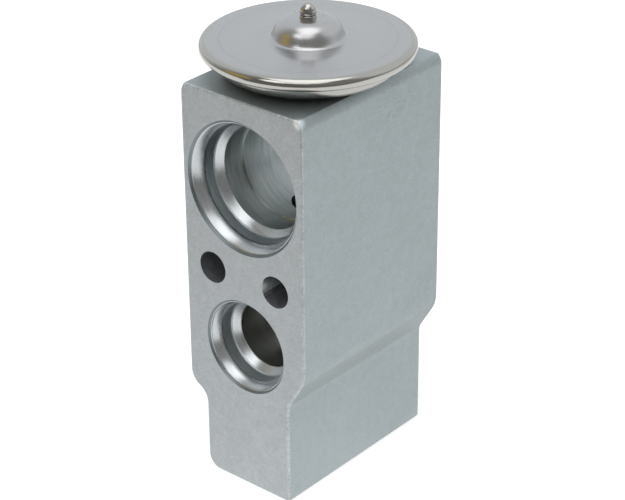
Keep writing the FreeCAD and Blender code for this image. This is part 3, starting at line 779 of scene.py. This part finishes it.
# For reflections only: a painted pool of light that greys far off, and painted shade from 0.11 m in
# front of the valve.
off = add(tree, "ShaderNodeVectorMath", {"operation": "LENGTH"}, {0: spot})
far_off = add(tree, "ShaderNodeMapRange", {
    "interpolation_type": "SMOOTHSTEP", 1: 0.2, 2: 0.9,
}, {"Value": off.outputs["Value"]})
sheet = add(tree, "ShaderNodeMix", {
    "data_type": "RGBA", 6: painted_pool_glow, 7: far_grey,
}, {0: far_off.outputs[0]})
ahead = add(tree, "ShaderNodeVectorMath", {
    "operation": "DOT_PRODUCT", 1: to_camera,
}, {0: spot})
past_edge = add(tree, "ShaderNodeMapRange", {
    "interpolation_type": "SMOOTHSTEP", 1: 0.11, 2: 0.22,
}, {"Value": ahead.outputs["Value"]})
sheet = add(tree, "ShaderNodeMix", {"data_type": "RGBA", 7: camera_side_shade}, {
    0: past_edge.outputs[0], 6: sheet.outputs[2],
})
mirrored = add(tree, "ShaderNodeEmission", {"Strength": 1.0}, {"Color": sheet.outputs[2]})
surface = add(tree, "ShaderNodeMixShader", {}, {
    0: path.outputs["Is Glossy Ray"], 1: lifted.outputs[0], 2: mirrored.outputs[0],
})
tree.links.new(surface.outputs[0], tree.nodes["Material Output"].inputs["Surface"])
floor_mesh.materials.append(paper)

# The studio: white all round where it is seen, and about half as strong where it lights the table.
# One soft square lamp hangs overhead and a weaker one stands in front, like a window.

half_light, white = 0.55, 1.0
world = bpy.data.worlds.new("studio")
scene.world = world
world.use_nodes = True
tree = world.node_tree
sky = tree.nodes["Background"]
sky.inputs["Color"].default_value = (1, 1, 1, 1)
path = add(tree, "ShaderNodeLightPath")
seen = add(tree, "ShaderNodeMath", {"operation": "MAXIMUM"}, {
    0: path.outputs["Is Camera Ray"], 1: path.outputs["Is Glossy Ray"],
})
seen = add(tree, "ShaderNodeMath", {"operation": "MAXIMUM"}, {
    0: seen.outputs[0], 1: path.outputs["Is Transmission Ray"],
})
level = add(tree, "ShaderNodeMapRange", {3: half_light, 4: white}, {"Value": seen.outputs[0]})
tree.links.new(level.outputs[0], sky.inputs["Strength"])


def towards(azimuth, elevation):
    """The unit vector from the valve at an elevation and an azimuth, from -Y towards +X."""
    a, e = math.radians(azimuth), math.radians(elevation)
    return Vector((math.sin(a) * math.cos(e), -math.cos(a) * math.cos(e), math.sin(e)))


for name, place, watts in (
    ("overhead", towards(20, 80) * 0.7, 2.0),
    ("window", towards(2, 46) * 1.0, 1.2),
):
    light = bpy.data.lights.new(name, "AREA")
    light.size = 0.3
    light.energy = watts
    lamp = bpy.data.objects.new(name, light)
    lamp.location = place
    aim = Vector((0, 0, 0.04)) - place
    lamp.rotation_euler = aim.to_track_quat("-Z", "Y").to_euler()
    lamp.visible_glossy = False
    scene.collection.objects.link(lamp)

# The room round the table, which only reflections show: half a globe, dim grey on the camera's
# side, pale behind the valve, with a window, a white ceiling and one warm thing low on the left.

# A point at turn a and rise e lies at radius (sin a cos e, -cos a cos e, sin e).
radius, slices, rings = 1.6, 48, 12
turns, rises = np.meshgrid(
    np.linspace(0, 2 * np.pi, slices + 1), np.linspace(0, np.pi / 2, rings + 1), indexing="ij")
globe = radius * np.stack([
    np.sin(turns) * np.cos(rises), -np.cos(turns) * np.cos(rises), np.sin(rises),
], axis=2).reshape(-1, 3)
first = (np.arange(slices)[:, None] * (rings + 1) + np.arange(rings)).ravel()
quads = np.stack([first, first + 1, first + rings + 2, first + rings + 1], axis=1)
room_mesh = bpy.data.meshes.new("room")
room_mesh.from_pydata(globe.tolist(), [], quads.tolist())
room = bpy.data.objects.new("room", room_mesh)
scene.collection.objects.link(room)
room.visible_camera = room.visible_diffuse = False
room.visible_shadow = room.visible_transmission = False
paint = bpy.data.materials.new("room_paint")
paint.use_nodes = True
paint.cycles.emission_sampling = "NONE"
tree = paint.node_tree
out = add(tree, "ShaderNodeVectorMath", {"operation": "NORMALIZE"}, {
    0: add(tree, "ShaderNodeTexCoord").outputs["Object"],
})
shade = add(tree, "ShaderNodeRGB")
shade.outputs[0].default_value = camera_side_shade
shade = shade.outputs[0]
# Each patch is (direction, cosine where it begins, cosine where it is full, colour, brightness),
# painted over those before it: right wall, left wall, backdrop, bright corner behind, the warm
# thing, window, and two ceiling lights.
for direction, begins, full, colour, brightness in (
    (towards(115, 30), 0.2, 0.7, "#969593", 1.0),
    (towards(-70, 30), 0.7, 0.95, "#A3A29E", 1.0),
    (towards(-140, 25), 0.2, 0.75, "#DCE0E3", 1.15),
    (towards(140, 38), 0.75, 0.95, "#DCDEDF", 1.2),
    (towards(-38, 20), 0.945, 0.98, "#C9AE6E", 1.0),
    (towards(3, 46), 0.95, 0.99, "#FFFFFF", 2.2),
    (towards(32, 56), 0.90, 0.975, "#FFFFFF", 1.5),
    (towards(45, 83), 0.88, 0.96, "#FFFFFF", 2.0),
):
    patch = (*(brightness * np.array(linear(colour)[:3])).tolist(), 1.0)
    along = add(tree, "ShaderNodeVectorMath", {"operation": "DOT_PRODUCT", 1: direction}, {
        0: out.outputs[0],
    })
    share = add(tree, "ShaderNodeMapRange", {
        "interpolation_type": "SMOOTHSTEP", 1: begins, 2: full,
    }, {"Value": along.outputs["Value"]})
    shade = add(tree, "ShaderNodeMix", {"data_type": "RGBA", 7: patch}, {
        0: share.outputs[0], 6: shade,
    }).outputs[2]
glow = add(tree, "ShaderNodeEmission", {"Strength": 1.0}, {"Color": shade})
tree.links.new(glow.outputs[0], tree.nodes["Material Output"].inputs["Surface"])
room_mesh.materials.append(paint)

scene.view_settings.view_transform = "Standard"
